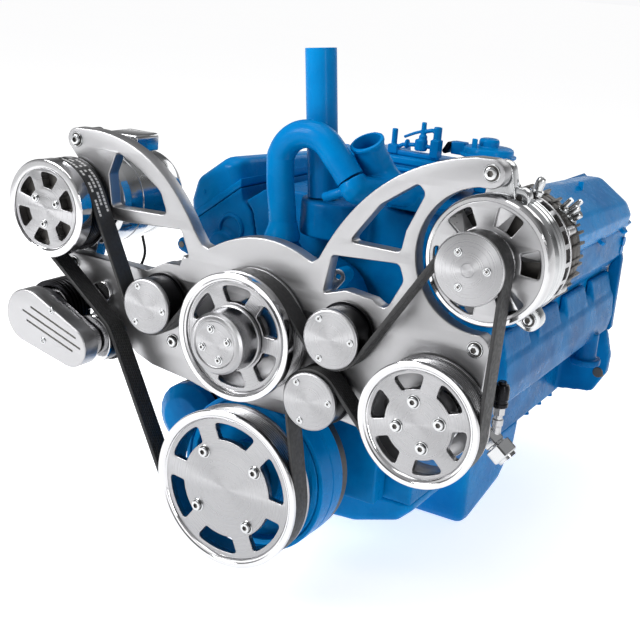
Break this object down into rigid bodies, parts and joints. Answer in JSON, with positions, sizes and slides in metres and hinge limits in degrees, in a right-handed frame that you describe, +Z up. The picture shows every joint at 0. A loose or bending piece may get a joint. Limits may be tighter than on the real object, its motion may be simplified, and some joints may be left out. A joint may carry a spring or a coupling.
{
  "type": "engine with serpentine accessory drive",
  "caption": "Blue V-type engine with a machined bracket plate, ribbed pulleys, belt tensioner, alternator, compressor and pumps driven by one flat belt.",
  "frame": {"origin": "centre of the flywheel flange on the crankshaft axis, at the block's rear face", "axes": "+Y back along the crankshaft towards the flywheel, +X to the right as seen from the belt end, +Z up between the banks"},
  "size_m": [0.6969, 0.852, 0.6966],
  "materials": {
    "blue_enamel": "gloss",
    "machined_aluminium": "satin",
    "polished_alloy": "polished",
    "dark_casting": "matte",
    "stator_iron": "satin",
    "bright_steel": "satin",
    "black_anodised": "satin",
    "belt_rubber": "matte"
  },
  "bodies": {
    "root": {"engine_block": "blue_enamel", "cylinder_head_left": "blue_enamel", "cylinder_head_right": "blue_enamel", "valve_cover_left": "blue_enamel", "valve_cover_right": "blue_enamel", "exhaust_manifold_left": "blue_enamel", "exhaust_manifold_right": "blue_enamel", "intake_manifold": "blue_enamel", "finned_plenum": "blue_enamel", "oil_pan": "blue_enamel", "timing_cover": "blue_enamel", "fuel_pump": "blue_enamel", "oil_filler_tube": "blue_enamel", "bypass_pipe": "blue_enamel", "thermostat_housing": "blue_enamel", "fitting_tree": "blue_enamel", "recirculation_valve": "blue_enamel", "water_pump_housing": "blue_enamel", "bracket_plate": "machined_aluminium", "standoff_left": "machined_aluminium", "standoff_right": "machined_aluminium", "standoff_upper": "machined_aluminium", "compressor_body": "polished_alloy", "compressor_port_block": "polished_alloy", "compressor_coil_lead": "belt_rubber", "alternator_front_case": "polished_alloy", "alternator_stator": "stator_iron", "alternator_rear_case": "dark_casting", "steering_pump_body": "polished_alloy", "steering_pump_fitting": "polished_alloy", "idler_spindle_left": "bright_steel", "idler_spindle_middle": "bright_steel", "idler_spindle_lower": "bright_steel", "tensioner_base": "black_anodised", "tensioner_spring": "bright_steel", "serpentine_belt": "belt_rubber"},
    "crank": {"crankshaft": "bright_steel", "harmonic_damper": "blue_enamel", "crank_pulley": "machined_aluminium"},
    "camshaft": {"camshaft": "bright_steel"},
    "water_pump": {"water_pump_pulley": "machined_aluminium", "water_pump_cap": "machined_aluminium", "water_pump_shaft": "bright_steel"},
    "compressor_clutch": {"compressor_clutch_face": "machined_aluminium", "compressor_clutch_pulley": "black_anodised"},
    "alternator": {"alternator_cap": "machined_aluminium", "alternator_pulley": "bright_steel", "alternator_fan": "polished_alloy", "alternator_rotor": "bright_steel"},
    "steering_pump": {"steering_pump_pulley": "machined_aluminium", "steering_pump_shaft": "bright_steel"},
    "idler_left": {"idler_pulley_left": "black_anodised", "idler_cap_left": "machined_aluminium"},
    "idler_middle": {"idler_pulley_middle": "black_anodised", "idler_cap_middle": "machined_aluminium"},
    "idler_lower": {"idler_pulley_lower": "black_anodised", "idler_cap_lower": "machined_aluminium"},
    "tensioner_arm": {"tensioner_arm": "machined_aluminium", "tensioner_cover": "machined_aluminium"},
    "tensioner_wheel": {"tensioner_pulley": "black_anodised"}
  },
  "joints": [
    {"name": "crank_spin", "type": "hinge", "parent": "root", "child": "crank", "pos_m": [0, -0.79, 0], "axis": [0, 1, 0], "continuous": true},
    {"name": "water_pump_spin", "type": "hinge", "parent": "root", "child": "water_pump", "pos_m": [0.005, -0.79, 0.199], "axis": [0, 1, 0], "continuous": true},
    {"name": "compressor_spin", "type": "hinge", "parent": "root", "child": "compressor_clutch", "pos_m": [-0.282, -0.79, 0.304], "axis": [0, 1, 0], "continuous": true},
    {"name": "alternator_spin", "type": "hinge", "parent": "root", "child": "alternator", "pos_m": [0.283, -0.79, 0.334], "axis": [0, 1, 0], "continuous": true},
    {"name": "steering_pump_spin", "type": "hinge", "parent": "root", "child": "steering_pump", "pos_m": [0.245, -0.79, 0.153], "axis": [0, 1, 0], "continuous": true},
    {"name": "idler_left_spin", "type": "hinge", "parent": "root", "child": "idler_left", "pos_m": [-0.13, -0.79, 0.206], "axis": [0, 1, 0], "continuous": true},
    {"name": "idler_middle_spin", "type": "hinge", "parent": "root", "child": "idler_middle", "pos_m": [0.13, -0.79, 0.224], "axis": [0, 1, 0], "continuous": true},
    {"name": "idler_lower_spin", "type": "hinge", "parent": "root", "child": "idler_lower", "pos_m": [0.109, -0.79, 0.1445], "axis": [0, 1, 0], "continuous": true},
    {"name": "tensioner_wheel_spin", "type": "hinge", "parent": "tensioner_arm", "child": "tensioner_wheel", "pos_m": [-0.22, -0.79, 0.142], "axis": [0, 1, 0], "continuous": true},
    {"name": "camshaft_spin", "type": "hinge", "parent": "root", "child": "camshaft", "pos_m": [0, -0.79, 0.13], "axis": [0, 1, 0], "continuous": true},
    {"name": "tensioner_swing", "type": "hinge", "parent": "root", "child": "tensioner_arm", "pos_m": [-0.292, -0.79, 0.166], "axis": [0, 1, 0], "range_deg": [-12, 8], "stiffness_Nm_per_rad": 50, "deforming": ["serpentine_belt", "tensioner_spring"]}
  ],
  "couplings": [
    {"joint": "water_pump_spin", "follows": "crank_spin", "ratio": 1.3331},
    {"joint": "compressor_spin", "follows": "crank_spin", "ratio": 1.6746},
    {"joint": "alternator_spin", "follows": "crank_spin", "ratio": 2.7581},
    {"joint": "steering_pump_spin", "follows": "crank_spin", "ratio": 1.4303},
    {"joint": "idler_left_spin", "follows": "crank_spin", "ratio": -2.7581},
    {"joint": "idler_middle_spin", "follows": "crank_spin", "ratio": -2.7581},
    {"joint": "idler_lower_spin", "follows": "crank_spin", "ratio": -2.7581},
    {"joint": "tensioner_wheel_spin", "follows": "crank_spin", "ratio": -2.9225},
    {"joint": "camshaft_spin", "follows": "crank_spin", "ratio": 0.5}
  ]
}
